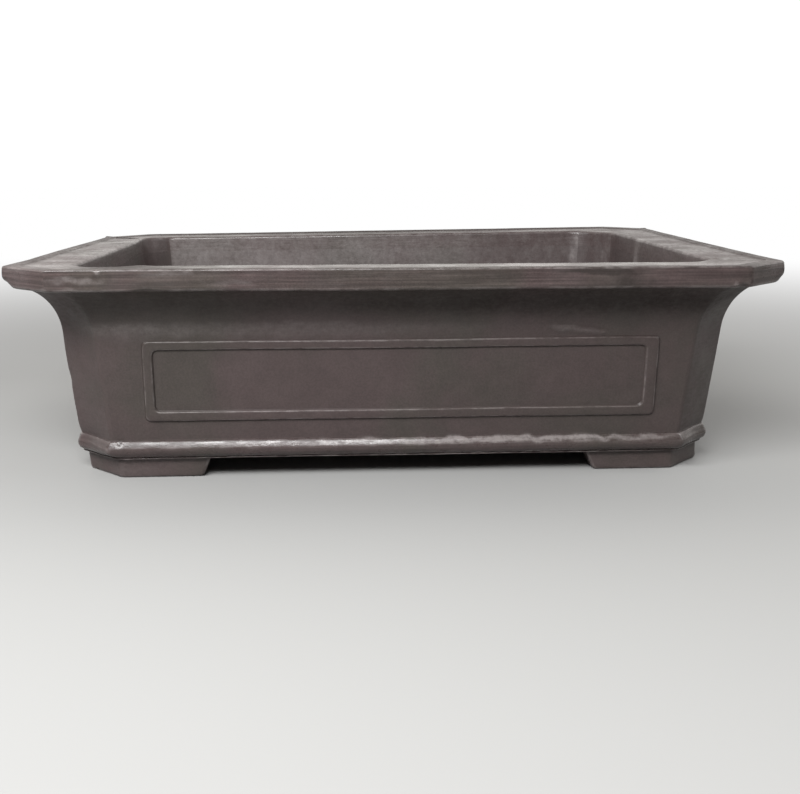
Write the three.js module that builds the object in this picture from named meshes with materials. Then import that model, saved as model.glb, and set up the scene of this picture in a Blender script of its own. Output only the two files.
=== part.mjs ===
// Rectangular bonsai pot with cut corners, built from slabs and strips of unglazed stoneware.
//
// Units are millimetres. +Z is up, +X runs along the long side, and the front faces -Y. The origin
// is on the surface that the pot stands on, midway between its four feet.
//
// Every wall, lip and belt strip follows one of the eight sides of the same plan outline, and is
// drawn as a cross-section: how far in from the lip's outer edge (the inset), and how high.

import * as THREE from "three";

// ---- Driving dimensions ----

const WIDTH = 610; // across the lip, left to right
const DEPTH = 452; // across the lip, front to back
const HEIGHT = 173; // from the standing surface to the top of the lip's edge band
const CORNER_CUT = 39; // leg of the 45 degree corner cut at the lip's outer edge
const CUT_SHRINK = 0.16; // what that leg loses for each millimetre of inset
const JOINT_GAP = 0.3; // joint between two neighbouring pieces
const MITRE_SETBACK = 0.2; // how far each mitred end stands back from its corner

// Feet
const FOOT_HEIGHT = 15;
const FOOT_ARM = 73; // length of each arm at its top, from the corner cut inwards
const FOOT_SLOPE = 7; // how much shorter each arm is on the ground
const FOOT_THICKNESS = 24;
const BASE_INSET = 46.5; // outer face of the feet and edge of the floor slab

// Floor
const FLOOR_THICKNESS = 10.7;
const DRAIN_DIAMETER = 46;
const DRAIN_SPACING = 250;
const WIRE_DIAMETER = 5;
const WIRE_COLUMN_SPACING = 165;
const WIRE_ROW_SPACING = 210;

// Walls
const WALL_FOOT_INSET = 42.3; // outer face just above the belt
const COVE_START_INSET = 34.2; // outer face where the flare under the lip begins
const COVE_START_HEIGHT = 116;
const COVE_END_INSET = 8; // where the flare meets the lip's underside
const INNER_FOOT_INSET = 57.3; // inner face at the floor
const INNER_TOP_INSET = 48.6; // inner face under the lip

// Lip
const LIP_THICKNESS = 17; // at the edge band
const LIP_WIDTH = 47.6;
const EDGE_BAND_WIDTH = 10;
const EDGE_BAND_RISE = 1.2;
const LIP_TOP_ROUND = 1.5;
const LIP_UNDER_ROUND = 3.2;
const LIP_INNER_ROUND = 2.4;

// Belt: a half-round strip that covers the joint between the floor and the walls
const BELT_TOP = 31.4;
const BELT_BOTTOM = 16.6;
const BELT_BULGE_INSET = 40.1; // of the curve's handles: the belt itself reaches about 41
const BELT_LOW_INSET = 45.8;

// Panel frames
const PANEL_LOWER = 48.3;
const PANEL_UPPER = 114.1;
const PANEL_HALF_LENGTH = 205; // front and back
const PANEL_HALF_LENGTH_SIDE = 126; // left and right
const PANEL_BAND = 8.4;
const PANEL_RISE = 1.8;
const PANEL_OUTER_ROUND = 4.5;
const PANEL_INNER_ROUND = 2;

// ---- Heights and slopes worked out from them ----

const FLOOR_BOTTOM = FOOT_HEIGHT + JOINT_GAP;
const FLOOR_TOP = FLOOR_BOTTOM + FLOOR_THICKNESS;
const WALL_BOTTOM = FLOOR_TOP + JOINT_GAP;
const LIP_BOTTOM = HEIGHT - LIP_THICKNESS;
const WALL_TOP = LIP_BOTTOM - JOINT_GAP;
const LIP_TOP = HEIGHT - EDGE_BAND_RISE;
const WALL_SHOULDER = BELT_TOP - 0.7; // the wall's lower edge is bevelled from here down to the floor
const WALL_SLOPE = (WALL_FOOT_INSET - COVE_START_INSET) / (COVE_START_HEIGHT - WALL_SHOULDER);

const SIDES = [
  "front",
  "corner_front_right",
  "right",
  "corner_back_right",
  "back",
  "corner_back_left",
  "left",
  "corner_front_left",
];

// ---- Clay ----

const CLAY = { wall: 0x5a524e, lip: 0x5f5552, belt: 0x675c59, panel: 0x5e5551, foot: 0x554d49, floor: 0x5b5652 };

function clayMesh(name, geometry, colour) {
  const material = new THREE.MeshStandardMaterial({ color: colour, roughness: 0.62, metalness: 0 });
  const mesh = new THREE.Mesh(geometry, material);
  mesh.name = name;
  return mesh;
}

// ---- Plan outline ----

// The outline's eight corners at an inset, anticlockwise from the left end of the front side.
function outline(inset) {
  const x = WIDTH / 2 - inset;
  const y = DEPTH / 2 - inset;
  const cut = CORNER_CUT - CUT_SHRINK * inset;
  return [
    new THREE.Vector2(-x + cut, -y),
    new THREE.Vector2(x - cut, -y),
    new THREE.Vector2(x, -y + cut),
    new THREE.Vector2(x, y - cut),
    new THREE.Vector2(x - cut, y),
    new THREE.Vector2(-x + cut, y),
    new THREE.Vector2(-x, y - cut),
    new THREE.Vector2(-x, -y + cut),
  ];
}

// A strip with one cross-section along one side of the outline. Both ends are mitred to meet the
// strips of the neighbouring sides. In the section, x is the inset and y is the height.
function mitredStrip(section, side) {
  const geometry = new THREE.ExtrudeGeometry(section, { depth: 1, bevelEnabled: false, curveSegments: 8 });
  const position = geometry.getAttribute("position");
  for (let i = 0; i < position.count; i++) {
    const corners = outline(position.getX(i));
    const start = corners[side];
    const end = corners[(side + 1) % corners.length];
    const setback = end.clone().sub(start).setLength(MITRE_SETBACK);
    const point = position.getZ(i) < 0.5 ? start.clone().add(setback) : end.clone().sub(setback);
    position.setXYZ(i, point.x, point.y, position.getY(i));
  }
  geometry.computeVertexNormals();
  return geometry;
}

// ---- Cross-sections ----

function wallSection() {
  const shape = new THREE.Shape();
  shape.moveTo(BASE_INSET, WALL_BOTTOM);
  shape.lineTo(INNER_FOOT_INSET, WALL_BOTTOM);
  shape.lineTo(INNER_TOP_INSET, WALL_TOP);
  shape.lineTo(COVE_END_INSET, WALL_TOP);
  const topHandle = [COVE_END_INSET + 12, WALL_TOP - 2.5];
  const lowHandle = [COVE_START_INSET - 2, COVE_START_HEIGHT + 21];
  shape.bezierCurveTo(...topHandle, ...lowHandle, COVE_START_INSET, COVE_START_HEIGHT);
  shape.lineTo(WALL_FOOT_INSET, WALL_SHOULDER);
  shape.closePath();
  return shape;
}

function lipSection() {
  const bandSlope = 1.6;
  const bandInner = EDGE_BAND_WIDTH + bandSlope;
  const shape = new THREE.Shape();
  shape.moveTo(LIP_UNDER_ROUND, LIP_BOTTOM);
  shape.lineTo(INNER_TOP_INSET, LIP_BOTTOM);
  shape.lineTo(LIP_WIDTH, LIP_TOP - LIP_INNER_ROUND);
  shape.quadraticCurveTo(LIP_WIDTH, LIP_TOP, LIP_WIDTH - LIP_INNER_ROUND, LIP_TOP);
  shape.lineTo(bandInner, LIP_TOP);
  shape.lineTo(EDGE_BAND_WIDTH, HEIGHT);
  shape.lineTo(LIP_TOP_ROUND, HEIGHT);
  shape.quadraticCurveTo(0, HEIGHT, 0, HEIGHT - LIP_TOP_ROUND);
  shape.lineTo(0, LIP_BOTTOM + LIP_UNDER_ROUND);
  shape.quadraticCurveTo(0, LIP_BOTTOM, LIP_UNDER_ROUND, LIP_BOTTOM);
  return shape;
}

function beltSection() {
  const backInset = BASE_INSET - JOINT_GAP;
  const topInset = WALL_FOOT_INSET - JOINT_GAP;
  const shape = new THREE.Shape();
  shape.moveTo(BELT_LOW_INSET, BELT_BOTTOM);
  shape.lineTo(backInset, BELT_BOTTOM);
  shape.lineTo(backInset, WALL_BOTTOM - 0.1);
  shape.lineTo(topInset, WALL_SHOULDER - 0.1);
  shape.lineTo(topInset, BELT_TOP);
  shape.bezierCurveTo(
    BELT_BULGE_INSET, BELT_TOP - 2,
    BELT_BULGE_INSET, BELT_BOTTOM + 3,
    BELT_LOW_INSET, BELT_BOTTOM,
  );
  return shape;
}

// ---- Floor ----

function roundHole(x, y, diameter) {
  const hole = new THREE.Path();
  hole.absarc(x, y, diameter / 2, 0, Math.PI * 2, true);
  return hole;
}

function floorGeometry() {
  const shape = new THREE.Shape(outline(BASE_INSET));
  for (const side of [-1, 1]) {
    shape.holes.push(roundHole((side * DRAIN_SPACING) / 2, 0, DRAIN_DIAMETER));
    for (const column of [-1, 0, 1]) {
      shape.holes.push(
        roundHole(column * WIRE_COLUMN_SPACING, (side * WIRE_ROW_SPACING) / 2, WIRE_DIAMETER),
      );
    }
  }
  const geometry = new THREE.ExtrudeGeometry(shape, {
    depth: FLOOR_THICKNESS,
    bevelEnabled: false,
    curveSegments: 12,
  });
  return geometry.translate(0, 0, FLOOR_BOTTOM);
}

// ---- Feet ----

// A bracket that wraps one corner: an arm along the front or back, the corner cut, and an arm
// along the side. The arms' inner ends slope, so each arm is shorter on the ground than on top.
function footGeometry(signX, signY) {
  const outer = outline(BASE_INSET);
  const inner = outline(BASE_INSET + FOOT_THICKNESS);
  const longArmEnd = outer[1].x - FOOT_ARM;
  const sideArmEnd = outer[2].y + FOOT_ARM;
  const plan = [
    new THREE.Vector2(longArmEnd, outer[1].y),
    outer[1],
    outer[2],
    new THREE.Vector2(outer[2].x, sideArmEnd),
    new THREE.Vector2(inner[2].x, sideArmEnd),
    inner[2],
    inner[1],
    new THREE.Vector2(longArmEnd, inner[1].y),
  ].map((corner) => new THREE.Vector2(corner.x * signX, -corner.y * signY));

  const geometry = new THREE.ExtrudeGeometry(new THREE.Shape(plan), {
    depth: FOOT_HEIGHT,
    bevelEnabled: false,
  });
  const position = geometry.getAttribute("position");
  for (let i = 0; i < position.count; i++) {
    const x = position.getX(i);
    const y = position.getY(i);
    const onGround = position.getZ(i) < FOOT_HEIGHT / 2;
    if (onGround && Math.abs(Math.abs(x) - longArmEnd) < JOINT_GAP) {
      position.setX(i, x + signX * FOOT_SLOPE);
    }
    if (onGround && Math.abs(Math.abs(y) + sideArmEnd) < JOINT_GAP) {
      position.setY(i, y + signY * FOOT_SLOPE);
    }
  }
  geometry.computeVertexNormals();
  return geometry;
}

// ---- Panel frames ----

function roundedRectangle(path, halfLength, halfHeight, round) {
  path.moveTo(-halfLength + round, -halfHeight);
  path.lineTo(halfLength - round, -halfHeight);
  path.quadraticCurveTo(halfLength, -halfHeight, halfLength, -halfHeight + round);
  path.lineTo(halfLength, halfHeight - round);
  path.quadraticCurveTo(halfLength, halfHeight, halfLength - round, halfHeight);
  path.lineTo(-halfLength + round, halfHeight);
  path.quadraticCurveTo(-halfLength, halfHeight, -halfLength, halfHeight - round);
  path.lineTo(-halfLength, -halfHeight + round);
  path.quadraticCurveTo(-halfLength, -halfHeight, -halfLength + round, -halfHeight);
  return path;
}

function panelGeometry(halfLength) {
  const halfHeight = (PANEL_UPPER - PANEL_LOWER) / 2;
  const shape = roundedRectangle(new THREE.Shape(), halfLength, halfHeight, PANEL_OUTER_ROUND);
  shape.holes.push(
    roundedRectangle(new THREE.Path(), halfLength - PANEL_BAND, halfHeight - PANEL_BAND, PANEL_INNER_ROUND),
  );
  return new THREE.ExtrudeGeometry(shape, { depth: PANEL_RISE, bevelEnabled: false, curveSegments: 4 });
}

// The frame lies on the sloping wall. Its group is turned so that the wall faces -Y.
function panelOnWall(name, quarterTurns) {
  const facesFrontOrBack = quarterTurns % 2 === 0;
  const halfLength = facesFrontOrBack ? PANEL_HALF_LENGTH : PANEL_HALF_LENGTH_SIDE;
  const halfExtent = (facesFrontOrBack ? DEPTH : WIDTH) / 2;
  const middle = (PANEL_LOWER + PANEL_UPPER) / 2;
  const wallInset = COVE_START_INSET + (COVE_START_HEIGHT - middle) * WALL_SLOPE;
  const frame = clayMesh(name, panelGeometry(halfLength), CLAY.panel);
  frame.position.set(0, -halfExtent + wallInset - JOINT_GAP, middle);
  frame.rotation.x = Math.PI / 2 + Math.atan(WALL_SLOPE);
  const turned = new THREE.Group();
  turned.rotation.z = (quarterTurns * Math.PI) / 2;
  turned.add(frame);
  return turned;
}

// ---- The pot ----

function buildPot() {
  const pot = new THREE.Group();
  pot.add(clayMesh("floor_slab", floorGeometry(), CLAY.floor));
  SIDES.forEach((sideName, side) => {
    pot.add(clayMesh(`wall_${sideName}`, mitredStrip(wallSection(), side), CLAY.wall));
    pot.add(clayMesh(`lip_${sideName}`, mitredStrip(lipSection(), side), CLAY.lip));
    pot.add(clayMesh(`belt_${sideName}`, mitredStrip(beltSection(), side), CLAY.belt));
  });
  ["front", "right", "back", "left"].forEach((sideName, quarterTurns) => {
    pot.add(panelOnWall(`panel_${sideName}`, quarterTurns));
  });
  for (const [endName, signY] of [["front", -1], ["back", 1]]) {
    for (const [handName, signX] of [["left", -1], ["right", 1]]) {
      pot.add(clayMesh(`foot_${endName}_${handName}`, footGeometry(signX, signY), CLAY.foot));
    }
  }
  return pot;
}

export default buildPot();
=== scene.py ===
"""Bonsai pot with cut corners, in unglazed stoneware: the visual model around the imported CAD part.

Tables and shapes are in millimetres until put_in_scene() turns them into metres. The clay, the lights and
the camera are in metres. +Z is up and the front faces -Y.
"""

import math

import bpy
import numpy as np
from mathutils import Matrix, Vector, geometry


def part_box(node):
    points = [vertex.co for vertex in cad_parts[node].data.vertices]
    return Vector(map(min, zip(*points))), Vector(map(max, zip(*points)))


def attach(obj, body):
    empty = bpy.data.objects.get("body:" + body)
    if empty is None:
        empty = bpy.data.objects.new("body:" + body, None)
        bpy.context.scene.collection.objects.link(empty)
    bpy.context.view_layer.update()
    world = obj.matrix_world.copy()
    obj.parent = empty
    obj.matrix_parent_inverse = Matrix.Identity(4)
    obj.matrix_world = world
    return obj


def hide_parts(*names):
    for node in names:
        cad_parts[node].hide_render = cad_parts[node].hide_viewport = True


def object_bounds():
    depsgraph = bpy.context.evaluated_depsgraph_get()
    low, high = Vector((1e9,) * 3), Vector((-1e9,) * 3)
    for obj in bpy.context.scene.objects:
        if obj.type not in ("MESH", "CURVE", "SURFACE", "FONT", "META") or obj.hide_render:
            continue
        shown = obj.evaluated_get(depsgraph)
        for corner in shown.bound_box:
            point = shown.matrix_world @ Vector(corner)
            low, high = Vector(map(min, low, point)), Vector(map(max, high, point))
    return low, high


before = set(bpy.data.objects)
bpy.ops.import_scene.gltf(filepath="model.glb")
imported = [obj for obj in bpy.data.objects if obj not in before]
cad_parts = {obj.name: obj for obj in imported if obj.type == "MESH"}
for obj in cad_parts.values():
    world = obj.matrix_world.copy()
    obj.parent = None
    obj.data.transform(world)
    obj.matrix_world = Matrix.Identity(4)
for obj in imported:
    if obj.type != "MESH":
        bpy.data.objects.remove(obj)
CAD_LOW, CAD_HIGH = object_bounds()

MM = 0.001


def cad_box(node):
    """Lowest and highest corner of a CAD node, in millimetres."""
    low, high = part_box(node)
    return np.array(low) / MM, np.array(high) / MM


# ---- Sizes ----

WIDTH, DEPTH, HEIGHT = (np.array(CAD_HIGH) - np.array(CAD_LOW)) / MM
CORNER_CUT = 39.0  # leg of the 45 degree corner cut at the lip's outer edge
CUT_SHRINK = 0.16  # what that leg loses for each millimetre of inset
LIP_BOTTOM = cad_box("lip_front")[0][2]
BELT_BOTTOM = cad_box("belt_front")[0][2]
FLASH_HEIGHT = 0.4  # of the thin flash of clay over the belt's bottom
FLOOR_BOTTOM, FLOOR_TOP = (cad_box("floor_slab")[k][2] for k in (0, 1))
BASE_INSET = DEPTH / 2 - cad_box("floor_slab")[1][1]
FOOT_HEIGHT = cad_box("foot_front_left")[1][2]

COVE_END = (8.0, LIP_BOTTOM)  # (inset, height) where the flare meets the lip
COVE_START = (34.2, 116.0)  # where the flare begins
WALL_FOOT = (42.3, 30.7)  # outer face behind the belt's top
WALL_SLOPE = (WALL_FOOT[0] - COVE_START[0]) / (COVE_START[1] - WALL_FOOT[1])
INNER_TOP_INSET = 48.6
INNER_FOOT_INSET = 57.3
LIP_WIDTH = 47.6
BAND_WIDTH = 10.0  # raised band round the lip's outer edge
BAND_RISE = 1.2

FOOT_ARM = 73.0
FOOT_SLOPE = 7.0
FOOT_THICKNESS = 24.0

DRAIN_DIAMETER, DRAIN_SPACING, DRAIN_RIM = 46.0, 250.0, 2.0  # a rim is the rounding of a hole's edge
WIRE_DIAMETER, WIRE_COLUMN, WIRE_ROW, WIRE_RIM = 5.0, 165.0, 105.0, 0.7
SLAB_RIM = 0.8

SIDES = ["front", "corner_front_right", "right", "corner_back_right"]
SIDES += ["back", "corner_back_left", "left", "corner_front_left"]

# How far from each plan corner its rounding starts: on outer faces, and on the inside of the pot.
OUTER_REACH = 3.0
INNER_REACH = [4.0, 8.0, 8.0, 15.0, 15.0, 6.0, 12.0, 4.0]
# At most corners the inside is squarer than the outside: how much shorter the corner cut is there.
INNER_SQUARING = [20.0, 11.0, 11.0, 0.0, 0.0, 9.0, 9.0, 20.0]


# ---- Small helpers ----


def unit(v):
    """The same direction, with a length of 1."""
    return v / np.maximum(np.linalg.norm(v, axis=-1, keepdims=True), 1e-9)


def smooth_step(value, low, high):
    """0 up to low, 1 from high on, and an S curve in between."""
    t = np.clip((value - low) / (high - low), 0, 1)
    return t * t * (3 - 2 * t)


def quadratic(a, b, c, t):
    """The point at t, from 0 to 1, on a Bezier curve with three control points."""
    return (1 - t) ** 2 * a + 2 * t * (1 - t) * b + t**2 * c


def cubic(a, b, c, d, steps):
    """Points along a Bezier curve with four control points."""
    t = np.linspace(0, 1, steps + 1)[:, None]
    a, b, c, d = (np.array(p, float) for p in (a, b, c, d))
    return (1 - t) ** 3 * a + 3 * t * (1 - t) ** 2 * b + 3 * t**2 * (1 - t) * c + t**3 * d


def lattice(cell, seed):
    """Repeatable random numbers from -1 to 1 at whole-number grid points."""
    mask = 0xFFFFFFFF
    h = (cell @ np.array([374761393, 668265263, 1442695041]) + seed * 974634777) & mask
    h = ((h ^ (h >> 13)) * 1274126177) & mask
    return (h ^ (h >> 16)) / 0x7FFFFFFF - 1.0


def waves(p, size, seed):
    """Smooth noise from -1 to 1 with bumps about `size` across."""
    q = p / size
    cell = np.floor(q).astype(np.int64)
    f = q - cell
    f = f * f * (3 - 2 * f)
    total = 0.0
    for corner in np.ndindex(2, 2, 2):
        weight = np.prod(np.where(np.array(corner) == 1, f, 1 - f), axis=-1)
        total = total + weight * lattice(cell + np.array(corner), seed)
    return total


# ---- How the clay settled in making and firing, and its stains and painted light and shade ----

# Kiln twist: how far the back of the lip rose, at its middle and more towards the right.
TWIST_MIDDLE, TWIST_RIGHT = 0.85, 4.0
# The left wall bellies out a little: how far, where that starts and ends, and where it spreads from.
LEFT_BELLY = 2.0
BELLY_START, BELLY_END, BELLY_FROM = (4.0, 24.0), (95.0, 150.0), (60.0, 230.0)
# Wavering of the hand-made surfaces: (bump size, most movement).
WAVERING = [(130.0, 0.5), (42.0, 0.24), (15.0, 0.08), (6.0, 0.03)]
# Extra wavering along the lip's arrises, and how much of the wavering up and down its level top lacks.
LIP_WAVERING = [(26.0, 0.12), (13.0, 0.07)]
LIP_FLATNESS = 0.65
# How far the thin flash of clay under the belt wanders in and out, and the size of its ripples.
FLASH_RAGGED, FLASH_RIPPLE = 0.55, 7.0
# The wavering grows from nothing at the ground to all of it at this height, so the feet stand flat.
STEADY_HEIGHT = 12.0
# First seed of each kind of unevenness.
LIP_SEED, FLASH_SEED, TINT_SEED = 70, 120, 200

# Local marks: (x, y, z), spread along x, y and z, and push along x, y and z.
MARKS = [
    ((-303.0, 184.0, 171.0), (4.0, 5.0, 4.0), (-0.4, 0.0, 1.2)),  # nub, back left corner
    ((303.0, 186.0, 172.0), (4.0, 4.0, 4.0), (0.3, 0.0, 0.6)),  # nub, back right corner
    ((-305.0, -187.0, 165.0), (30.0, 40.0, 14.0), (-2.8, 0.0, 0.0)),  # lip spread, front left
    ((305.0, -187.0, 165.0), (30.0, 40.0, 14.0), (3.8, 0.0, 0.0)),  # lip spread, front right
    ((-252.0, 150.0, 172.0), (16.0, 45.0, 12.0), (-2.0, 1.0, 1.1)),  # inner edge, back left
    ((-306.0, -190.0, 156.0), (7.0, 12.0, 5.0), (4.5, 1.5, 3.0)),  # lower edge knocked off, front left
    ((306.0, -186.0, 156.0), (6.0, 10.0, 4.5), (-3.2, 1.0, 2.0)),  # the same, front right
    ((130.0, -191.0, 121.5), (9.0, 8.0, 2.4), (0.0, -1.4, 0.0)),  # smears of clay above the front panel
    ((145.0, -191.0, 119.6), (8.0, 8.0, 2.2), (0.0, -1.2, 0.0)),
    ((160.0, -191.0, 117.4), (8.0, 8.0, 2.0), (0.0, -1.0, 0.0)),
    ((263.0, -157.0, 172.0), (2.6, 4.5, 3.5), (0.0, 0.0, 1.4)),  # nub, inner edge at the front right
    ((-203.0, -179.0, 172.0), (7.0, 5.0, 5.0), (0.0, 1.6, 0.5)),  # wavy inner edge at the front left
    ((-233.0, -178.0, 172.0), (15.0, 6.0, 6.0), (0.0, -3.0, -1.0)),
    ((-227.0, -226.0, 170.4), (2.3, 3.0, 2.0), (0.0, -1.0, 0.2)),  # nubs and chips on the front of the lip
    ((254.0, -226.0, 158.6), (2.6, 3.0, 2.4), (0.0, -0.9, 0.0)),
    ((261.0, -226.0, 157.0), (5.0, 4.0, 2.2), (0.0, 1.6, 1.0)),
    ((-192.0, -226.0, 157.0), (9.0, 4.0, 1.8), (0.0, 0.8, 0.7)),
    ((-219.0, -181.0, 16.0), (3.0, 3.0, 2.6), (0.0, -1.0, -0.4)),  # nub and chip under the belt
    ((-234.0, -181.0, 18.5), (9.0, 5.0, 2.6), (0.0, 1.8, 0.5)),
    ((-224.0, -185.0, 30.0), (2.0, 3.0, 2.0), (0.0, 1.2, 0.0)),  # pit in the belt
    ((-260.0, -168.0, 26.0), (17.0, 24.0, 8.0), (3.4, 2.2, 0.0)),  # belt pressed flat at the front corners
    ((258.0, -170.0, 26.0), (19.0, 22.0, 8.0), (-2.3, 2.0, 0.0)),
    ((-268.0, -157.0, 78.0), (5.0, 9.0, 6.0), (0.9, 0.0, 0.0)),  # dent, left wall
    ((-262.0, -176.0, 8.0), (7.0, 9.0, 7.0), (1.6, 1.2, 0.0)),  # worn corner of the front left foot
]

# How far the edges of the stains and of the painted light and shade wander, and the size of their ripples.
TINT_RAGGED, TINT_RIPPLE = 2.2, 8.0

# Stains, scuffs and bloom, and painted light and shade where marked: (x, y, z), spread along x, y and z,
# and how much paler (above 0) or darker.
TINTS = [
    ((150.0, -226.0, 169.3), (30.0, 7.0, 2.6), -1.3),  # dark smear, right half of the lip's front
    ((171.0, -226.0, 162.0), (12.0, 7.0, 6.0), -0.8),
    ((189.0, -226.0, 161.0), (4.0, 6.0, 3.0), -0.6),
    ((216.0, -226.0, 170.6), (28.0, 6.0, 1.5), -0.45),
    ((-229.0, -226.0, 167.4), (3.2, 6.0, 2.0), -0.7),  # dark spots, left half
    ((-153.0, -226.0, 171.0), (3.0, 6.0, 2.0), -0.6),
    ((-219.0, -226.0, 166.0), (1.8, 6.0, 6.5), -0.6),
    ((-227.0, -226.5, 170.6), (2.4, 4.0, 1.8), 1.0),  # worn nub, then pale and dark stretches
    ((-243.0, -226.0, 165.0), (24.0, 7.0, 2.6), 0.5),
    ((-172.0, -226.0, 169.6), (30.0, 7.0, 2.2), 0.4),
    ((-128.0, -226.0, 163.0), (26.0, 7.0, 2.6), 0.3),
    ((-62.0, -226.0, 165.0), (15.0, 7.0, 9.0), -0.4),
    ((-104.0, -226.0, 166.0), (9.0, 7.0, 5.0), -0.3),
    ((34.0, -226.0, 167.0), (40.0, 7.0, 2.0), 0.15),
    ((-238.0, -226.0, 157.5), (18.0, 7.0, 1.4), 0.5),
    ((262.0, -226.0, 165.0), (24.0, 8.0, 12.0), -0.2),
    ((254.0, -226.0, 158.6), (2.6, 4.0, 2.4), 0.7),
    ((-290.0, -206.0, 166.0), (18.0, 22.0, 11.0), 0.22),  # lip on the corner cuts, front left and right, painted paler for the light that falls on them
    ((290.0, -206.0, 166.0), (18.0, 22.0, 11.0), 0.24),
    ((-282.0, -185.0, 173.0), (24.0, 34.0, 3.0), 0.3),  # top of the lip, front left
    ((-250.0, -165.0, 172.0), (5.0, 12.0, 4.0), -0.4),
    ((-214.0, -196.0, 171.5), (42.0, 22.0, 4.0), -0.95),
    ((275.0, -40.0, 173.0), (36.0, 190.0, 4.0), -0.25),  # top of the lip, right side
    ((-215.0, -192.0, 121.0), (44.0, 10.0, 11.0), 0.12),  # wall above the front panel painted paler: painted light below the lip's shadow
    ((-110.0, -191.0, 123.5), (210.0, 12.0, 8.0), 0.26),
    ((180.0, -205.0, 142.0), (200.0, 27.0, 14.0), -0.42),  # painted shade in the cove, right half
    ((-241.0, -171.0, 88.0), (22.0, 22.0, 60.0), -0.13),  # painted shade on the corner walls, left and right
    ((241.0, -171.0, 40.0), (22.0, 22.0, 36.0), -0.28),
    ((140.0, -189.0, 75.0), (130.0, 8.0, 40.0), -0.2),  # painted shade, right half of the front panel
    ((-232.0, -182.0, 8.0), (50.0, 14.0, 12.0), 0.2),  # left foot
    ((-60.0, -186.0, 28.8), (190.0, 9.0, 2.6), 0.42),  # painted highlight along the crest of the belt
    ((125.0, -186.0, 28.8), (130.0, 9.0, 2.6), 0.68),
    ((10.0, -183.0, 16.8), (185.0, 5.0, 1.3), 0.8),  # painted highlight along the flash under the belt
    ((-229.0, -186.0, 27.5), (5.0, 6.0, 4.0), 0.1),  # left end of the belt
    ((-224.0, -185.0, 31.0), (2.2, 4.0, 1.5), -0.6),
    ((130.0, -191.0, 122.0), (13.0, 9.0, 3.6), 0.32),  # smears above the front panel
    ((150.0, -191.0, 118.6), (14.0, 9.0, 2.6), 0.26),
    ((224.0, 176.0, 166.0), (2.4, 9.0, 8.0), 0.4),  # inside: flecks at the back right corner
    ((218.0, 175.0, 148.0), (3.0, 9.0, 7.0), 0.4),
    ((250.0, 153.0, 150.0), (5.0, 6.0, 60.0), 0.2),  # inside: pale runs down the right wall
    ((256.0, 54.0, 150.0), (12.0, 9.0, 60.0), 0.7),
    ((170.0, 178.0, 150.0), (70.0, 12.0, 40.0), -0.22),  # inside: darker parts of the back wall
    ((0.0, 172.0, 100.0), (220.0, 14.0, 36.0), -0.3),
    ((0.0, 202.0, 173.0), (250.0, 30.0, 5.0), -0.5),  # top of the lip, back
    ((60.0, -196.0, 172.0), (250.0, 19.0, 4.0), 0.3),  # painted reflection on the top of the lip, front
]


def settled(p):
    """Where each point of the ideal shape ends up in the fired pot."""
    x, y, z = p[..., 0], p[..., 1], p[..., 2]
    moved = np.zeros_like(p)
    for number, (size, most) in enumerate(WAVERING):
        for axis in range(3):
            moved[..., axis] += most * waves(p, size, 10 * number + axis)
    on_lip = smooth_step(z, LIP_BOTTOM - 1, LIP_BOTTOM + 3)
    for number, (size, most) in enumerate(LIP_WAVERING):
        for axis in range(3):
            moved[..., axis] += most * on_lip * waves(p, size, LIP_SEED + 10 * number + axis)
    moved *= smooth_step(z, 0, STEADY_HEIGHT)[..., None]
    moved[..., 2] *= 1 - LIP_FLATNESS * on_lip
    belly = smooth_step(z, *BELLY_START) * (1 - smooth_step(z, *BELLY_END))
    moved[..., 0] -= LEFT_BELLY * belly * smooth_step(-x, *BELLY_FROM)
    share = (y + DEPTH / 2) / DEPTH * (z / HEIGHT) ** 2
    moved[..., 2] += share * (TWIST_MIDDLE + TWIST_RIGHT * x / (WIDTH / 2))
    flash = FLASH_RAGGED * np.exp(-((z - BELT_BOTTOM - FLASH_HEIGHT) ** 2))
    moved[..., 1] += np.sign(y) * flash * waves(p, FLASH_RIPPLE, FLASH_SEED)
    for place, spread, push in MARKS:
        distance = (((p - np.array(place)) / np.array(spread)) ** 2).sum(-1)
        moved += np.exp(-distance)[..., None] * np.array(push)
    return p + moved


def tinted(p):
    """How much paler or darker than plain clay each point is, from about 1 to -1."""
    ripples = [waves(p, TINT_RIPPLE, TINT_SEED + axis) for axis in range(3)]
    ragged = p + TINT_RAGGED * np.stack(ripples, -1)
    tone = np.zeros(p.shape[:-1])
    for place, spread, amount in TINTS:
        distance = (((ragged - np.array(place)) / np.array(spread)) ** 2).sum(-1)
        tone += amount * np.exp(-(distance**1.5))
    return tone


# ---- Outlines and loops ----


def outline_corner(index, inset, inner=0.0):
    """Corner `index` of the plan outline, anticlockwise from the left end of the front side.

    `inner` is 0 on outer faces and 1 on the inside of the pot.
    """
    x, y = WIDTH / 2 - inset, DEPTH / 2 - inset
    cut = CORNER_CUT - CUT_SHRINK * inset - INNER_SQUARING[index % 8] * inner
    xs = (-x + cut, x - cut, x, x, x - cut, -x + cut, -x, -x)
    ys = (-y, -y, -y + cut, y - cut, y, y, y - cut, -y + cut)
    return np.stack([xs[index % 8], ys[index % 8]], -1)


CORNER_STEPS = 6


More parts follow.
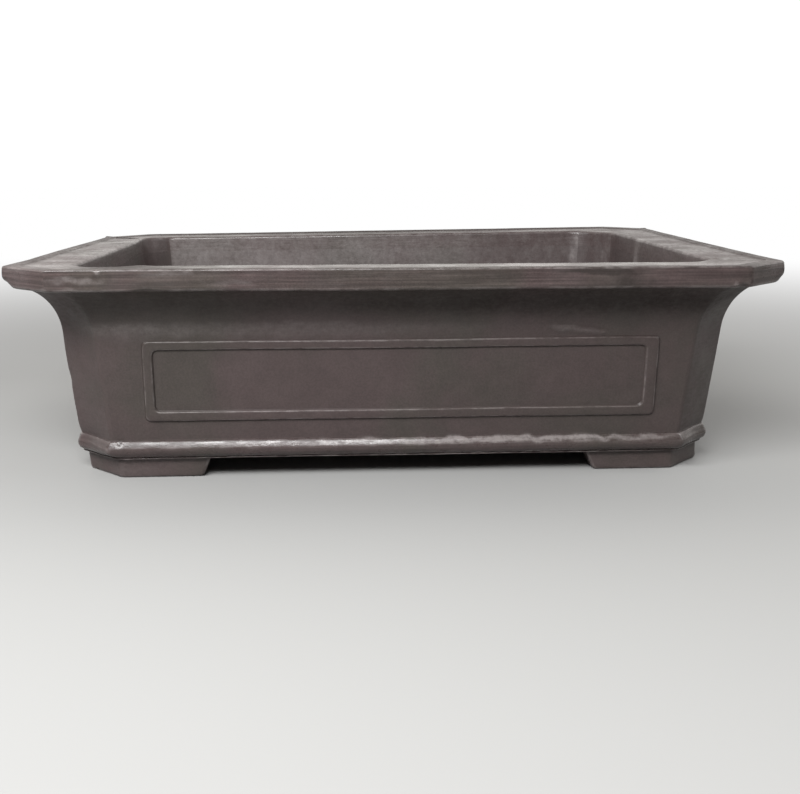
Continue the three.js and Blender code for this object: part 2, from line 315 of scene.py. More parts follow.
def soft_loop(corners, reach, step):
    """A closed loop through the corners, each rounded from `reach` before it to `reach` after it.

    The corners may be a stack of similar loops. Returns the points, and which of them are hard arrises.
    """
    corners = np.asarray(corners, float)
    count = corners.shape[-2]
    points, hard = [], []
    for k in range(count):
        before, here, after = (corners[..., (k + d) % count, :] for d in (-1, 0, 1))
        back, ahead = unit(before - here), unit(after - here)
        if reach[k] > 0:
            for t in np.linspace(0, 1, CORNER_STEPS + 1):
                points.append(quadratic(here + back * reach[k], here, here + ahead * reach[k], t))
                hard.append(False)
        else:
            points.append(here)
            hard.append(bool((back * ahead).sum(-1).flat[0] > -0.9))
        start = here + ahead * reach[k]
        end = after - ahead * reach[(k + 1) % count]
        length = np.linalg.norm(end - start, axis=-1).flat[0]
        pieces = max(1, math.ceil(length / step))
        for n in range(1, pieces):
            points.append(start + (end - start) * n / pieces)
            hard.append(False)
    return np.stack(points, -2), np.array(hard)


def section_loop(table, step=2.2):
    """A cross-section as (inset, height) points, from rows of (inset, height, reach of the rounding)."""
    table = np.array(table, float)
    return soft_loop(table[:, :2], table[:, 2], step)


def side_path(side, inset, inner, step):
    """Points along one side of the outline, a row for each inset, from mid-corner to mid-corner.

    One column is added beyond each end, so that normals carry on round the corner.
    """
    before, start, end, after = (outline_corner(side + k, inset, inner) for k in (-1, 0, 1, 2))
    reach_in, reach_out = (
        (OUTER_REACH + (INNER_REACH[(side + k) % 8] - OUTER_REACH) * inner)[:, None] for k in (0, 1)
    )
    along = unit(end - start)
    arrive = (start - reach_in * unit(start - before), start, start + reach_in * along)
    leave = (end - reach_out * along, end, end + reach_out * unit(after - end))
    half = np.linspace(0.5, 1, CORNER_STEPS + 1)
    extra = half[1] - half[0]
    length = np.linalg.norm(leave[0] - arrive[2], axis=-1).max()
    straight = np.linspace(0, 1, max(4, math.ceil(length / step)) + 1)[1:-1]
    columns = [quadratic(*arrive, t) for t in [0.5 - extra, *half]]
    columns += [arrive[2] + (leave[0] - arrive[2]) * t for t in straight]
    columns += [quadratic(*leave, t) for t in [*(half - 0.5), 0.5 + extra]]
    return np.stack(columns, 1)


# ---- From a grid of points to a piece of the pot ----


def grid_normals(p, hard):
    """For each grid point, the normal for the faces after its row and the one for those before it."""
    along = p[:, 2:] - p[:, :-2]
    p = p[:, 1:-1]
    ahead, behind = unit(np.roll(p, -1, 0) - p), unit(p - np.roll(p, 1, 0))
    middle = unit(ahead + behind)
    hard = hard[:, None, None]
    after = unit(np.cross(np.where(hard, ahead, middle), along))
    before = unit(np.cross(np.where(hard, behind, middle), along))
    return after, before


BEND_RADIUS = 4.0  # a convex bend of this radius counts as 1, and one towards the inside as -1
SHORTEST_STEP = 0.15


def bend(ahead, behind, normal):
    """Curvature across a point from the steps to and from it: positive where the clay is convex."""
    gap = (np.linalg.norm(ahead, axis=-1) + np.linalg.norm(behind, axis=-1)) / 2
    return -((unit(ahead) - unit(behind)) * normal).sum(-1) / np.maximum(gap, SHORTEST_STEP)


def grid_bend(p, hard, normal):
    """How sharply convex (above 0) or hollow (below 0) the surface is."""
    inner = p[:, 1:-1]
    across = bend(np.roll(inner, -1, 0) - inner, inner - np.roll(inner, 1, 0), normal)
    across = np.where(hard[:, None], 0, across)
    lengthwise = bend(p[:, 2:] - inner, inner - p[:, :-2], normal)
    return np.clip(BEND_RADIUS * (across + lengthwise), -2, 2)


SHARP_ANGLE = math.radians(38)


def put_in_scene(cad_node, points, faces, material, attributes, normals=None):
    """Makes the piece that stands for a CAD node. Its sharp angles are arrises unless normals are given."""
    mesh = bpy.data.meshes.new(cad_node)
    mesh.from_pydata((points * MM).tolist(), [], faces)
    for key, values in attributes.items():
        vector = values.ndim == 2
        layer = mesh.attributes.new(key, "FLOAT_VECTOR" if vector else "FLOAT", "POINT")
        layer.data.foreach_set("vector" if vector else "value", values.astype(np.float32).ravel())
    mesh.shade_smooth()
    if normals is None:
        mesh.set_sharp_from_angle(angle=SHARP_ANGLE)
    else:
        mesh.normals_split_custom_set(normals.tolist())
    mesh.materials.append(material)
    piece = bpy.data.objects.new(cad_node + "_clay", mesh)
    bpy.context.scene.collection.objects.link(piece)
    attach(piece, "root")
    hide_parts(cad_node)


def cap_triangles(outline):
    """Triangles that fill a flat outline, as row numbers, all turning the way the outline does."""
    triangles = np.array(geometry.tessellate_polygon([[Vector((*p, 0)) for p in outline]]))
    a, b, c = (outline[triangles[:, k]] for k in range(3))
    turn = np.cross(b - a, c - a)
    outline_turn = np.cross(outline, np.roll(outline, -1, 0)).sum()
    triangles[turn * outline_turn < 0] = triangles[turn * outline_turn < 0, ::-1]
    return triangles


def grid_piece(cad_node, grid, hard, material, strip, outline=None, inside=0.0, tone=0.0):
    """A closed piece from a grid whose columns are closed sections, with a cap at each end or as a ring.

    The grid's first and last columns only lend their direction to the normals. `hard` marks the rows that
    are sharp arrises. The outline is the flat shape of a section, by which the caps are filled, and a ring
    has none. `strip`, `inside` and `tone` are for the clay: see the tone tables and clay().
    """
    grid = settled(grid)
    after, before = grid_normals(grid, hard)
    convex = grid_bend(grid, hard, unit(after + before))
    points = grid[:, 1:-1]
    rows, columns = points.shape[:2]
    index = np.arange(rows * columns).reshape(rows, columns)
    below = np.roll(index, -1, 0)
    next_up = np.roll(before, -1, 0)
    if outline is None:
        wrap = [np.roll(a, -1, 1) for a in (index, below, after, next_up)]
        quads = np.stack([index, below, wrap[1], wrap[0]], -1)
        corners = np.stack([after, next_up, wrap[3], wrap[2]], 2)
    else:
        quads = np.stack([index[:, :-1], below[:, :-1], below[:, 1:], index[:, 1:]], -1)
        corners = np.stack([after[:, :-1], next_up[:, :-1], next_up[:, 1:], after[:, 1:]], 2)
    faces = quads.reshape(-1, 4).tolist()
    normals = [corners.reshape(-1, 3)]
    if outline is not None:
        triangles = cap_triangles(outline)
        for column, turn in ((0, -1), (columns - 1, 1)):
            faces += index[triangles[:, ::turn], column].tolist()
            loop = points[:, column] - points[:, column].mean(0)
            facing = unit(np.cross(loop, np.roll(loop, -1, 0)).sum(0)) * turn
            normals.append(np.repeat(facing[None], triangles.size, 0))
    attributes = {
        "convex": convex.ravel(),
        "inside": np.broadcast_to(inside, (rows, columns)).ravel(),
        "tone": (tone + tinted(points)).ravel(),
        "strip": np.broadcast_to(strip, (rows, columns, 3)).reshape(-1, 3) * MM,
    }
    points = points.reshape(-1, 3)
    put_in_scene(cad_node, points, faces, material, attributes, np.concatenate(normals))


# ---- Clay ----


class Nodes:
    """Adds nodes to a material's tree. An input is a value or another node's output."""

    def __init__(self, material):
        material.use_nodes = True
        self.tree = material.node_tree
        self.tree.nodes.clear()

    def add(self, kind, inputs, output=0, **settings):
        node = self.tree.nodes.new("ShaderNode" + kind)
        for key, value in settings.items():
            setattr(node, key, value)
        for key, value in inputs.items():
            if isinstance(value, bpy.types.NodeSocket):
                self.tree.links.new(value, node.inputs[key])
            else:
                node.inputs[key].default_value = value
        return node.outputs[output] if node.outputs else node

    def noise(self, vector, size, detail=3.0, roughness=0.55, distortion=0.0):
        """Noise about 0.5 with features `size` metres across."""
        inputs = {"Vector": vector, "Scale": 1 / size, "Detail": detail}
        inputs |= {"Roughness": roughness, "Distortion": distortion}
        return self.add("TexNoise", inputs)

    def span(self, value, low, high, to_low=0.0, to_high=1.0):
        """The value's range from low to high, smoothly mapped to another."""
        inputs = {"Value": value, "From Min": low, "From Max": high, "To Min": to_low, "To Max": to_high}
        return self.add("MapRange", inputs, interpolation_type="SMOOTHSTEP")

    def math(self, operation, a, b=0.0):
        return self.add("Math", {0: a, 1: b}, operation=operation)

    def blend(self, factor, a, b, blend_type="MIX"):
        settings = {"data_type": "RGBA", "blend_type": blend_type}
        return self.add("Mix", {0: factor, 6: a, 7: b}, output=2, **settings)

    def attribute(self, name, output="Fac"):
        return self.add("Attribute", {}, output=output, attribute_name=name)

    def stretched(self, vector, scale):
        return self.add("VectorMath", {0: vector, 1: scale}, operation="MULTIPLY")


PURPLE = (0.060, 0.043, 0.042, 1)
OLIVE = (0.046, 0.040, 0.034, 1)
# Pale worn clay; through `tone` it also paints highlights, reflections and lit places.
PALE_WEAR_AND_HIGHLIGHT = (0.24, 0.215, 0.21, 1)
MINERAL = (0.19, 0.175, 0.17, 1)
# Dark stains; through `tone` and the hollows it also paints shade.
DARK = (0.021, 0.014, 0.012, 1)
WHITE = (1, 1, 1, 1)


def clay(name, value=1.0, streak=0.5, roughness=0.5, wear=0.3, broken=0.04):
    """Unglazed purple-brown stoneware, with patches, specks, drag marks, worn arrises and mineral bloom,
    and with stains and painted light and shade from `tone`, and hollows darkened with dust and painted
    shade.

    It reads four attributes of the mesh: `strip` (place along the strip, around it, and which strip),
    `convex` (see grid_bend), `inside` (1 on the inside of the pot) and `tone` (see tinted). `streak` is the
    strength of the drag marks, `wear` of the rubbed arrises, and `broken` of the breaks in the gloss.
    """
    material = bpy.data.materials.new(name)
    n = Nodes(material)
    place = n.add("TexCoord", {}, output="Object")
    strip = n.attribute("strip", "Vector")
    convex = n.attribute("convex")
    inside = n.attribute("inside")

    # Stains, worn places and painted light and shade break up along the strip.
    along = n.noise(n.stretched(strip, (70.0, 400.0, 70.0)), 1.0, 4, 0.6)
    ragged = n.math("ADD", n.noise(place, 0.0035, 5, 0.7), n.math("MULTIPLY", along, broken * 8))
    uneven = 0.15 + 4 * broken
    ragged = n.span(ragged, 0.3 + 3 * broken, 0.7 + 5 * broken, 1 - uneven, 1 + 0.8 * uneven)
    tone = n.math("MULTIPLY", n.attribute("tone"), ragged)

    # Purple and olive patches, mottle and grain.
    patches = n.span(n.noise(place, 0.11, 5, 0.55, 0.5), 0.40, 0.66, 0.0, 0.75)
    purple, olive = ((*(value * c for c in shade[:3]), 1) for shade in (PURPLE, OLIVE))
    colour = n.blend(patches, purple, olive)
    mottle = n.span(n.noise(place, 0.016, 6, 0.65), 0.3, 0.7, 0.93, 1.07)
    grain = n.span(n.noise(place, 0.0016, 2, 0.5), 0.3, 0.7, 0.9, 1.1)
    colour = n.blend(1.0, colour, n.math("MULTIPLY", mottle, grain), "MULTIPLY")

    # Drag marks along the strip, but not on level faces or on the inside.
    drag = n.noise(n.stretched(strip, (9.0, 420.0, 9.0)), 1.0, 3, 0.6)
    drag = n.span(drag, 0.35, 0.75, 1 - 0.25 * streak, 1 + 0.45 * streak)
    facing = n.add("NewGeometry", {}, output="Normal")
    level = n.span(n.add("SeparateXYZ", {0: facing}, output="Z"), 0.6, 0.9, 0.0, 0.75)
    drag = n.blend(n.math("MAXIMUM", level, inside), drag, WHITE)
    colour = n.blend(1.0, colour, drag, "MULTIPLY")

    # Mineral bloom on the inside, in flecks and patches.
    flecks = n.noise(n.stretched(place, (1.0, 1.0, 0.7)), 0.007, 6, 0.7)
    bloom = n.math("MULTIPLY", n.span(flecks, 0.36, 0.76), inside)
    bloom = n.math("MULTIPLY", bloom, n.span(n.noise(place, 0.05, 3, 0.6), 0.3, 0.65, 0.35, 1.0))
    bloom = n.math("MULTIPLY", bloom, n.span(n.attribute("tone"), -0.35, 0.1, 0.15, 1.0))
    colour = n.blend(n.math("MULTIPLY", bloom, 0.5), colour, MINERAL)

    # Stains and the painted light and shade that `tone` carries, worn arrises, and hollows darkened with
    # dust and painted shade.
    colour = n.blend(n.span(tone, 0.0, 1.0, 0.0, 0.85), colour, PALE_WEAR_AND_HIGHLIGHT)
    colour = n.blend(n.span(tone, 0.0, -1.0, 0.0, 0.85), colour, DARK)
    rub = n.noise(place, 0.010, 4, 0.6)
    worn = n.math("MULTIPLY", n.span(convex, 0.4, 1.6), n.span(rub, 0.35, 0.65, 0.0, wear))
    colour = n.blend(worn, colour, PALE_WEAR_AND_HIGHLIGHT)
    # Dust and painted shade: concave hollows and creases are darkened.
    hollow_dust_and_shade = n.span(convex, -0.15, -0.9, 0.0, 0.5)
    colour = n.blend(hollow_dust_and_shade, colour, DARK)

    # Roughness: smoother where the clay is rubbed or pale.
    sheen = n.span(n.noise(place, 0.03, 5, 0.6), 0.35, 0.65, roughness - 0.07, roughness + 0.09)
    sheen = n.math("SUBTRACT", sheen, n.math("MULTIPLY", worn, 0.12))
    sheen = n.math("SUBTRACT", sheen, n.math("MULTIPLY", tone, 0.25))
    breaks = n.noise(n.stretched(strip, (90.0, 380.0, 90.0)), 1.0, 4, 0.65)
    sheen = n.math("ADD", sheen, n.span(breaks, 0.35, 0.65, -broken, broken))

    # Grain and drag marks too fine for the mesh.
    fine = n.add("Bump", {"Strength": 0.45, "Distance": 0.00025, "Height": n.noise(place, 0.0022, 4, 0.6)})
    lines = n.noise(n.stretched(strip, (14.0, 500.0, 14.0)), 1.0, 3, 0.6)
    bump = n.add("Bump", {"Strength": 0.3 * streak, "Distance": 0.0005, "Height": lines, "Normal": fine})
    shader = {"Base Color": colour, "Roughness": sheen, "Normal": bump, "Specular IOR Level": 0.45}
    shader = n.add("BsdfPrincipled", shader)
    n.add("OutputMaterial", {"Surface": shader})
    return material


CLAY_WALL = clay("clay_wall", streak=0.02, wear=0.22)
CLAY_PANEL = clay("clay_panel", streak=0.02, roughness=0.42, wear=0.32)
CLAY_LIP = clay("clay_lip", value=1.12, streak=1.0, roughness=0.37, wear=0.3, broken=0.05)
CLAY_BELT = clay("clay_belt", streak=0.5, roughness=0.33, wear=0.3, broken=0.1)
CLAY_BASE = clay("clay_base", value=1.08, streak=0.05, wear=0.3)


# ---- Strips round the outline ----


def wall_table():
    """The wall's cross-section: the cove, the outer face, the foot on the slab, and the inner face."""
    low, high = (COVE_START[0] - 2, COVE_START[1] + 21), (COVE_END[0] + 12, COVE_END[1] - 2.5)
    cove = cubic(COVE_END, high, low, COVE_START, 22)
    rows = [(inset, z, 0) for inset, z in cove]
    rows += [(*WALL_FOOT, 0), (BASE_INSET, FLOOR_TOP, 0)]
    rows += [(INNER_FOOT_INSET + 9, FLOOR_TOP - 0.4, 0), (INNER_FOOT_INSET, FLOOR_TOP + 0.6, 5)]
    rows += [(INNER_TOP_INSET, LIP_BOTTOM, 0)]
    return rows


def lip_table():
    """The lip's cross-section: its front, its underside, the flat top and the raised band."""
    flat_top = HEIGHT - BAND_RISE
    return [
        (0, HEIGHT, 1.6),
        (0, LIP_BOTTOM, 3.2),
        (COVE_END[0] + 4, LIP_BOTTOM - 0.1, 0),
        (INNER_TOP_INSET, LIP_BOTTOM, 0),
        (LIP_WIDTH, flat_top, 2.8),
        (BAND_WIDTH + 1.8, flat_top, 0.8),
        (BAND_WIDTH, HEIGHT, 0.9),
    ]


def belt_table():
    """The belt's cross-section: its half-round face, the flash under it, and its back inside the wall."""
    wall = WALL_FOOT[0]
    bevel = cubic((wall - 0.3, 31.6), (wall - 1.4, 31.2), (39.8, 28.6), (38.8, 26.4), 9)
    lower = cubic((38.8, 26.4), (38.0, 24.4), (38.4, 19.6), (43.4, BELT_BOTTOM + 1.0), 18)
    rows = [(wall + 0.6, 33.2, 0), (wall - 0.35, 32.4, 0)]
    rows += [(inset, z, 0) for inset, z in [*bevel, *lower[1:]]]
    rows += [(42.7, BELT_BOTTOM + 0.6, 0.15), (42.8, BELT_BOTTOM - 0.1, 0.25)]
    rows += [(45.8, BELT_BOTTOM - 0.4, 0.3), (BASE_INSET + 0.5, BELT_BOTTOM - 0.4, 0)]
    rows += [(BASE_INSET + 0.5, FLOOR_TOP, 0), (wall + 0.8, WALL_FOOT[1] + 1, 0)]
    return rows


# How much paler (above 0) or darker these are: the lip's raised band; the cove under the lip, darkened as
# painted shade, with the heights between which it darkens and the inset to which it goes; and the inside of
# each wall in the order of SIDES.
BAND_TONE = -0.6
COVE_PAINTED_SHADE, COVE_SHADE, COVE_REACH = -0.45, (126.0, 146.0), 36.0
INSIDE_TONES = [0.1, -0.3, -0.3, 0.0, 0.42, -0.28, -0.28, -0.3]
# The third strip coordinate tells strips apart, so that no two have the same streaks.
SIDE_STRIP, PANEL_STRIP, NEXT_PANEL_STRIP, FOOT_STRIP, SLAB_STRIP = 300.0, 4000.0, 100.0, 5000.0, 6000.0


def inner_share(inset, z):
    """How far a point of a cross-section follows the inside outline: 0 on outer faces, 1 on the inside.

    It changes gradually across the lip and across the wall's foot, where the section is level.
    """
    on_lip = smooth_step(inset, 14, 46)
    on_floor = smooth_step(inset, 46, 66)
    on_wall = inset > 47
    return np.where(z > LIP_BOTTOM - 1, on_lip, np.where(z < FLOOR_TOP + 0.05, on_floor, on_wall))


def strip_piece(kind, side, table, material, step):
    """One mitred strip: a cross-section carried along one side of the outline."""
    section, hard = section_loop(table)
    inset, z = section[:, 0], section[:, 1]
    path = side_path(side, inset, inner_share(inset, z), step)
    grid = np.concatenate([path, np.broadcast_to(z[:, None, None], (*path.shape[:2], 1))], -1)
    middle = path[0, 1:-1]
    travel = np.concatenate([[0], np.linalg.norm(np.diff(middle, axis=0), axis=1).cumsum()])
    around = np.linalg.norm(np.diff(section, axis=0, prepend=section[:1]), axis=1).cumsum()
    travel = travel[None] - travel[-1] / 2
    strip = np.stack(np.broadcast_arrays(travel, around[:, None], SIDE_STRIP * side), -1)
    inside = smooth_step(inset, INNER_TOP_INSET - 2, INNER_TOP_INSET - 0.8)[:, None]
    on_band = (z > HEIGHT - 0.6) & (inset < BAND_WIDTH + 1)
    tone = BAND_TONE * on_band[:, None] + INSIDE_TONES[side] * inside
    if kind == "wall":
        # Painted shade: the cove under the lip is darkened in colour.
        cove = smooth_step(z, *COVE_SHADE) * (inset < COVE_REACH)
        tone = tone + COVE_PAINTED_SHADE * cove[:, None]
    grid_piece(f"{kind}_{SIDES[side]}", grid, hard, material, strip, section, inside, tone)


WALL_STEP, LIP_STEP, BELT_STEP = 2.5, 2.0, 2.0

for side in range(len(SIDES)):
    strip_piece("wall", side, wall_table(), CLAY_WALL, WALL_STEP)
    strip_piece("lip", side, lip_table(), CLAY_LIP, LIP_STEP)
    strip_piece("belt", side, belt_table(), CLAY_BELT, BELT_STEP)


# ---- Panel frames ----

# Ends of each frame along its wall, seen from outside: outer left and right, then inner left and right.
PANELS = {
    "front": (-202.0, 207.7, -194.0, 197.0),
    "right": (-126.0, 126.0, -117.8, 117.6),
    "back": (-205.0, 204.5, -196.4, 196.6),
    "left": (-126.0, 126.0, -117.6, 117.8),
}
PANEL_OUTER_Z = (48.3, 114.1)
PANEL_INNER_Z = (56.5, 106.7)
PANEL_BREADTH = 8.0  # about that of a frame's bars
PANEL_RISE = 1.7
PANEL_REACH = 5.0
PANEL_STEP = 2.5


def panel_profile():
    """(share of the way from inner to outer edge, height off the wall), closed behind the wall's face.

    The rows that are buried in the wall are hard arrises.
    """
    edge = cubic((-0.12, -0.3), (0.01, 0.0), (0.02, PANEL_RISE - 0.15), (0.14, PANEL_RISE), 8)
    crown = [(0.3, PANEL_RISE + 0.06), (0.5, PANEL_RISE + 0.08), (0.7, PANEL_RISE + 0.06)]
    far_edge = [(1 - share, height) for share, height in edge[::-1]]
    behind = [(1.0, -1.0), (0.0, -1.0)]
    rows = np.array([*edge, *crown, *far_edge, *behind])
    hard = rows[:, 1] <= edge[0, 1]
    return rows, hard


def panel_piece(side_name, quarter_turns):
    """One frame, made on the front wall and turned to its side of the pot."""
    left, right, inner_left, inner_right = PANELS[side_name]
    rectangles = []
    for x0, x1, (z0, z1) in ((inner_left, inner_right, PANEL_INNER_Z), (left, right, PANEL_OUTER_Z)):
        rectangles.append([(x0, z0), (x1, z0), (x1, z1), (x0, z1)])
    loops, _ = soft_loop(rectangles, [PANEL_REACH] * 4, PANEL_STEP)
    rows, hard = panel_profile()
    share, lift = rows[:, 0, None, None], rows[:, 1, None]
    flat = loops[0][None] + (loops[1] - loops[0])[None] * share
    flat = np.concatenate([flat[:, -1:], flat, flat[:, :1]], 1)
    extent = (DEPTH if quarter_turns % 2 == 0 else WIDTH) / 2
    tilt = math.atan(WALL_SLOPE)
    face = extent - COVE_START[0] - (COVE_START[1] - flat[..., 1]) * WALL_SLOPE
    face = face + lift * math.cos(tilt)
    grid = np.stack([flat[..., 0], -face, flat[..., 1] - lift * math.sin(tilt)], -1)
    turn = quarter_turns * math.pi / 2
    cosine, sine = math.cos(turn), math.sin(turn)
    rotation = np.array([[cosine, -sine, 0], [sine, cosine, 0], [0, 0, 1]])
    grid = grid @ rotation.T
    travel = np.arange(flat.shape[1] - 2) * PANEL_STEP
    around = rows[:, :1] * PANEL_BREADTH
    which = PANEL_STRIP + NEXT_PANEL_STRIP * quarter_turns
    strip = np.stack(np.broadcast_arrays(travel[None], around, which), -1)
    grid_piece(f"panel_{side_name}", grid, hard, CLAY_PANEL, strip)


for quarter_turns, side_name in enumerate(["front", "right", "back", "left"]):
    panel_piece(side_name, quarter_turns)


# ---- Feet ----

# The worn lower arris: (height, how far the foot's faces have drawn in there).
FOOT_ARRIS = [(0.0, 2.2), (0.35, 1.3), (0.9, 0.65), (1.8, 0.2), (3.2, 0.0)]
FOOT_UPPER_LEVELS = np.linspace(5.0, BELT_BOTTOM + 0.2, 9)
FOOT_REACH = [3.0, 3.0, 3.0, 3.0, 2.0, 4.0, 4.0, 2.0]
FOOT_STEP = 2.0


def drawn_in(corners, amount):
    """The polygon with every side moved inwards by the amount. The corners run anticlockwise."""
    back = unit(corners - np.roll(corners, 1, 0))
    ahead = unit(np.roll(corners, -1, 0) - corners)
    normal_back = np.stack([-back[:, 1], back[:, 0]], -1)
    normal_ahead = np.stack([-ahead[:, 1], ahead[:, 0]], -1)
    share = 1 + (normal_back * normal_ahead).sum(-1, keepdims=True)
    return corners + amount * (normal_back + normal_ahead) / share


def foot_plan(z):
    """Corners of the front right foot at a height, anticlockwise from its long arm's inner end."""
    cut = FOOT_SLOPE * np.clip(1 - z / FOOT_HEIGHT, 0, 1)
    face = BASE_INSET - 0.15
    outer = [outline_corner(k, np.array(face)) for k in (1, 2)]
    inner = [outline_corner(k, np.array(face + FOOT_THICKNESS)) for k in (1, 2)]
    long_end = outer[0][0] - FOOT_ARM + cut
    side_end = outer[1][1] + FOOT_ARM - cut
    return np.array([
        (long_end, outer[0][1]), outer[0], outer[1], (outer[1][0], side_end),
        (inner[1][0], side_end), inner[1], inner[0], (long_end, inner[0][1]),
    ])


def foot_piece(cad_node, sign_x, sign_y):
    """One foot: the front right one's plan, mirrored by the signs, at levels from the ground up."""
    levels = FOOT_ARRIS + [(z, 0.0) for z in FOOT_UPPER_LEVELS]
    loops = []
    for z, amount in levels:
        corners = drawn_in(foot_plan(z), amount) * (sign_x, sign_y)
        loops.append(corners if sign_x * sign_y > 0 else corners[::-1])
    reach = FOOT_REACH if sign_x * sign_y > 0 else FOOT_REACH[::-1]
    plan, hard = soft_loop(np.array(loops), reach, FOOT_STEP)
    heights = np.array([z for z, _ in levels])
    grid = np.concatenate([plan, np.broadcast_to(heights[:, None, None], (*plan.shape[:2], 1))], -1)
    grid = grid.transpose(1, 0, 2)
    grid = np.concatenate([2 * grid[:, :1] - grid[:, 1:2], grid, 2 * grid[:, -1:] - grid[:, -2:-1]], 1)
    around = np.linalg.norm(np.diff(plan[-1], axis=0, prepend=plan[-1][:1]), axis=1).cumsum()
    strip = np.stack(np.broadcast_arrays(around[:, None], heights[None], FOOT_STRIP), -1)
    grid_piece(cad_node, grid, hard, CLAY_BASE, strip, plan[-1])


for end_name, sign_y in (("front", 1), ("back", -1)):
    for hand_name, sign_x in (("left", -1), ("right", 1)):
        foot_piece(f"foot_{end_name}_{hand_name}", sign_x, sign_y)


# ---- Floor slab ----

FLOOR_STEP = 8.0
FLOOR_MARGIN = 3.0  # least distance from a rim to the points inside the slab
FLOOR_CORNER = 28.0  # how much of the slab's box the corner cuts take, less that margin
DRAIN_POINTS, WIRE_POINTS = 48, 16
RIM_ANGLES = np.radians([22.5, 45, 67.5, 90])


def circle(x, y, radius, count):
    """Points round a circle, anticlockwise."""
    angle = np.linspace(0, 2 * math.pi, count, endpoint=False)
    return np.stack([x + radius * np.cos(angle), y + radius * np.sin(angle)], -1)


def floor_holes():
    """(x, y, radius, rim rounding, points round it) of the drain and wire holes."""
    drain = (DRAIN_DIAMETER / 2, DRAIN_RIM, DRAIN_POINTS)
    wire = (WIRE_DIAMETER / 2, WIRE_RIM, WIRE_POINTS)
    holes = [(side * DRAIN_SPACING / 2, 0, *drain) for side in (-1, 1)]
    for column in (-1, 0, 1):
        for row in (-1, 1):
            holes.append((column * WIRE_COLUMN, row * WIRE_ROW, *wire))
    return holes


def off_holes(x, y, margin=0.0):
    """Whether a place on the slab is clear of every hole and its rim."""
    return all(math.hypot(x - hx, y - hy) > r + rim + margin for hx, hy, r, rim, _ in floor_holes())


def floor_fill(half_x, half_y):
    """Points spread evenly over the slab, clear of its edge and its holes."""
    points = []
    for row, y in enumerate(np.arange(-half_y, half_y, FLOOR_STEP)):
        for x in np.arange(-half_x + (row % 2) * FLOOR_STEP / 2, half_x, FLOOR_STEP):
            on_slab = abs(x) + abs(y) <= half_x + half_y - FLOOR_CORNER
            if on_slab and off_holes(x, y, FLOOR_MARGIN):
                points.append((x, y))
    return np.array(points)


def slab_profile(rim):
    """(distance inwards, height) down a slab's edge, which is rounded at its top and its bottom."""
    upper = [(rim * math.sin(a), FLOOR_TOP - rim * (1 - math.cos(a))) for a in RIM_ANGLES]
    return upper + [(inward, FLOOR_BOTTOM + FLOOR_TOP - z) for inward, z in upper[::-1]]


def floor_piece():
    """The slab between its outer edge and the rims of its holes."""
    edge = np.array([outline_corner(k, np.array(BASE_INSET)) for k in range(8)])
    edge, _ = soft_loop(edge, [OUTER_REACH] * 8, FLOOR_STEP)
    loops = [edge] + [circle(x, y, r + rim, count) for x, y, r, rim, count in floor_holes()]
    flat = np.concatenate([*loops, floor_fill(*(edge.max(0) - FLOOR_MARGIN))])
    starts = np.cumsum([0] + [len(loop) for loop in loops])
    rings = [np.arange(start, start + len(loop)) for start, loop in zip(starts, loops)]
    borders = [(int(a), int(b)) for ring in rings for a, b in zip(ring, np.roll(ring, -1))]
    result = geometry.delaunay_2d_cdt([Vector(p) for p in flat], borders, [], 1, 1e-5)
    flat, triangles = np.array(result[0]), result[2]
    triangles = [tuple(tri) for tri in triangles if off_holes(*flat[list(tri)].mean(0))]
    count = len(flat)
    faces = triangles + [tuple(count + k for k in tri[::-1]) for tri in triangles]
    points = [np.column_stack([flat, np.full(count, z)]) for z in (FLOOR_TOP, FLOOR_BOTTOM)]
    total = 2 * count

    # The outer edge keeps its outline all the way down. A hole narrows to its radius between its rims.
    walls = [(None, SLAB_RIM)] + [((x, y), rim) for x, y, _, rim, _ in floor_holes()]
    for ring, loop, (centre, rim) in zip(rings, loops, walls):
        rows = [ring]
        for inward, z in slab_profile(rim):
            shape = loop if centre is None else loop + unit(np.array(centre) - loop) * inward
            points.append(np.column_stack([shape, np.full(len(loop), z)]))
            rows.append(np.arange(total, total + len(loop)))
            total += len(loop)
        rows.append(ring + count)
        for upper, lower in zip(rows, rows[1:]):
            quads = np.stack([upper, lower, np.roll(lower, -1), np.roll(upper, -1)], -1)
            faces += (quads if centre is None else quads[:, ::-1]).tolist()
    points = settled(np.concatenate(points))
    inside = smooth_step(points[:, 2], FLOOR_TOP - 2.5, FLOOR_TOP - 1.0)
    strip = np.column_stack([points[:, 0], points[:, 1], np.full(len(points), SLAB_STRIP)]) * MM
    plain = np.zeros(len(points))
    attributes = {"convex": plain, "inside": inside, "tone": plain, "strip": strip}
    put_in_scene("floor_slab", points, faces, CLAY_BASE, attributes)


floor_piece()


# ---- Studio ----

POT_MIDDLE = (0, 0, 0.08)
FLOOR_GREY = (0.32, 0.32, 0.315, 1)
FLOOR_FADE = (0.3, 2.2)  # distance from the pot's middle over which the floor turns white
WARM_WHITE = (1.0, 0.975, 0.94, 1)


def area_light(name, place, width, height, power):
    """A soft rectangular light that faces the pot."""
    data = bpy.data.lights.new(name, "AREA")
    data.shape, data.size, data.size_y, data.energy = "RECTANGLE", width, height, power
    light = bpy.data.objects.new(name, data)
    light.location = place
    light.rotation_euler = (Vector(POT_MIDDLE) - Vector(place)).to_track_quat("-Z", "Y").to_euler()
    light.visible_camera = False
    bpy.context.scene.collection.objects.link(light)


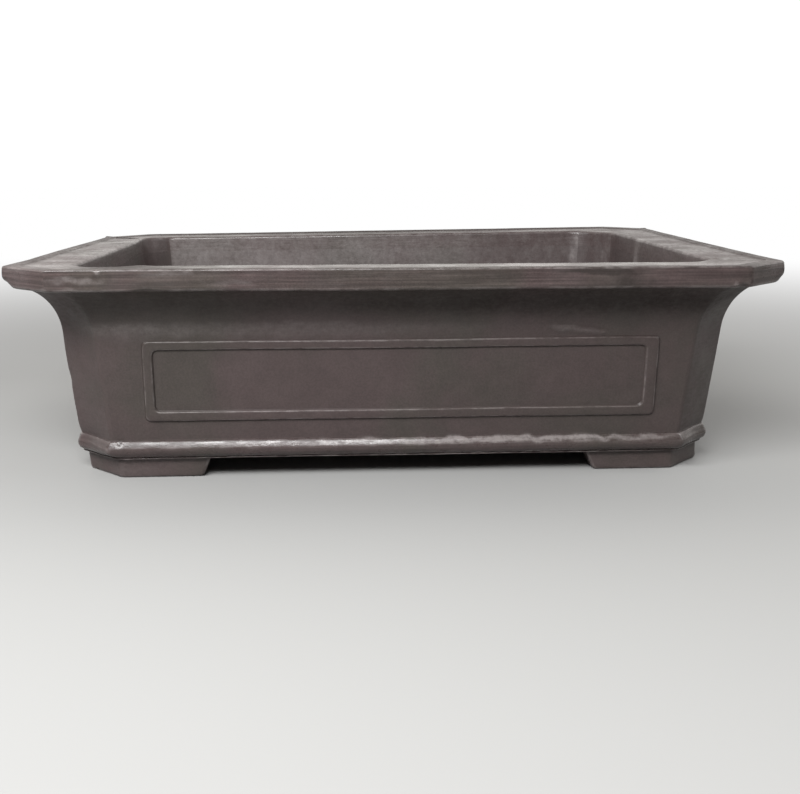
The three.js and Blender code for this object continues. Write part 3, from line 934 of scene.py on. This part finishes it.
def floor_material():
    """Pale grey round the pot, growing into the white of the background."""
    material = bpy.data.materials.new("studio_floor")
    n = Nodes(material)
    place = n.add("TexCoord", {}, output="Object")
    distance = n.add("VectorMath", {0: place}, output="Value", operation="LENGTH")
    near = n.add("BsdfPrincipled", {"Base Color": FLOOR_GREY, "Roughness": 0.85})
    seen = n.add("LightPath", {}, output="Is Camera Ray")
    far = n.add("Emission", {"Color": WHITE, "Strength": n.math("MAXIMUM", seen, 0.12)})
    mixed = n.add("MixShader", {0: n.span(distance, *FLOOR_FADE), 1: near, 2: far})
    n.add("OutputMaterial", {"Surface": mixed})
    return material


def studio_floor():
    mesh = bpy.data.meshes.new("studio_floor")
    half = 12.0
    corners = [(-half, -half, 0), (half, -half, 0), (half, half, 0), (-half, half, 0)]
    mesh.from_pydata(corners, [], [(0, 1, 2, 3)])
    mesh.materials.append(floor_material())
    ground = bpy.data.objects.new("studio_floor", mesh)
    bpy.context.scene.collection.objects.link(ground)


def backdrop():
    """A white background. As a light it is bright behind the pot and dim in front of it."""
    world = bpy.data.worlds.new("studio")
    bpy.context.scene.world = world
    n = Nodes(world)
    direction = n.add("TexCoord", {}, output="Generated")
    backwards = n.add("SeparateXYZ", {0: direction}, output="Y")
    glow = n.span(backwards, -0.1, 0.5, 0.06, 1.2)
    seen = n.add("LightPath", {}, output="Is Camera Ray")
    strength = n.math("MAXIMUM", glow, seen)
    colour = n.blend(seen, WARM_WHITE, WHITE)
    background = n.add("Background", {"Color": colour, "Strength": strength})
    n.add("OutputWorld", {"Surface": background})


def studio():
    studio_floor()
    backdrop()
    area_light("key", (-0.45, -0.85, 0.84), width=1.2, height=0.35, power=25)
    area_light("side", (1.25, -0.25, 0.9), width=0.7, height=0.7, power=7.5)
    bpy.context.scene.view_settings.view_transform = "Standard"


CAMERA_PLACE = (-0.0528, -1.0105, 0.2481)
LOOKS_DOWN, LOOKS_RIGHT = 0.2174, 0.0628  # radians
FILM_WIDTH, LENS = 36, 47.24


def camera():
    """The photo's viewpoint: a little left of the pot's middle and above its rim, turned slightly right."""
    data = bpy.data.cameras.new("camera")
    data.sensor_width = FILM_WIDTH
    data.lens = LENS
    viewer = bpy.data.objects.new("camera", data)
    viewer.location = CAMERA_PLACE
    viewer.rotation_euler = (math.pi / 2 - LOOKS_DOWN, 0, -LOOKS_RIGHT)
    bpy.context.scene.collection.objects.link(viewer)
    bpy.context.scene.camera = viewer


studio()
camera()
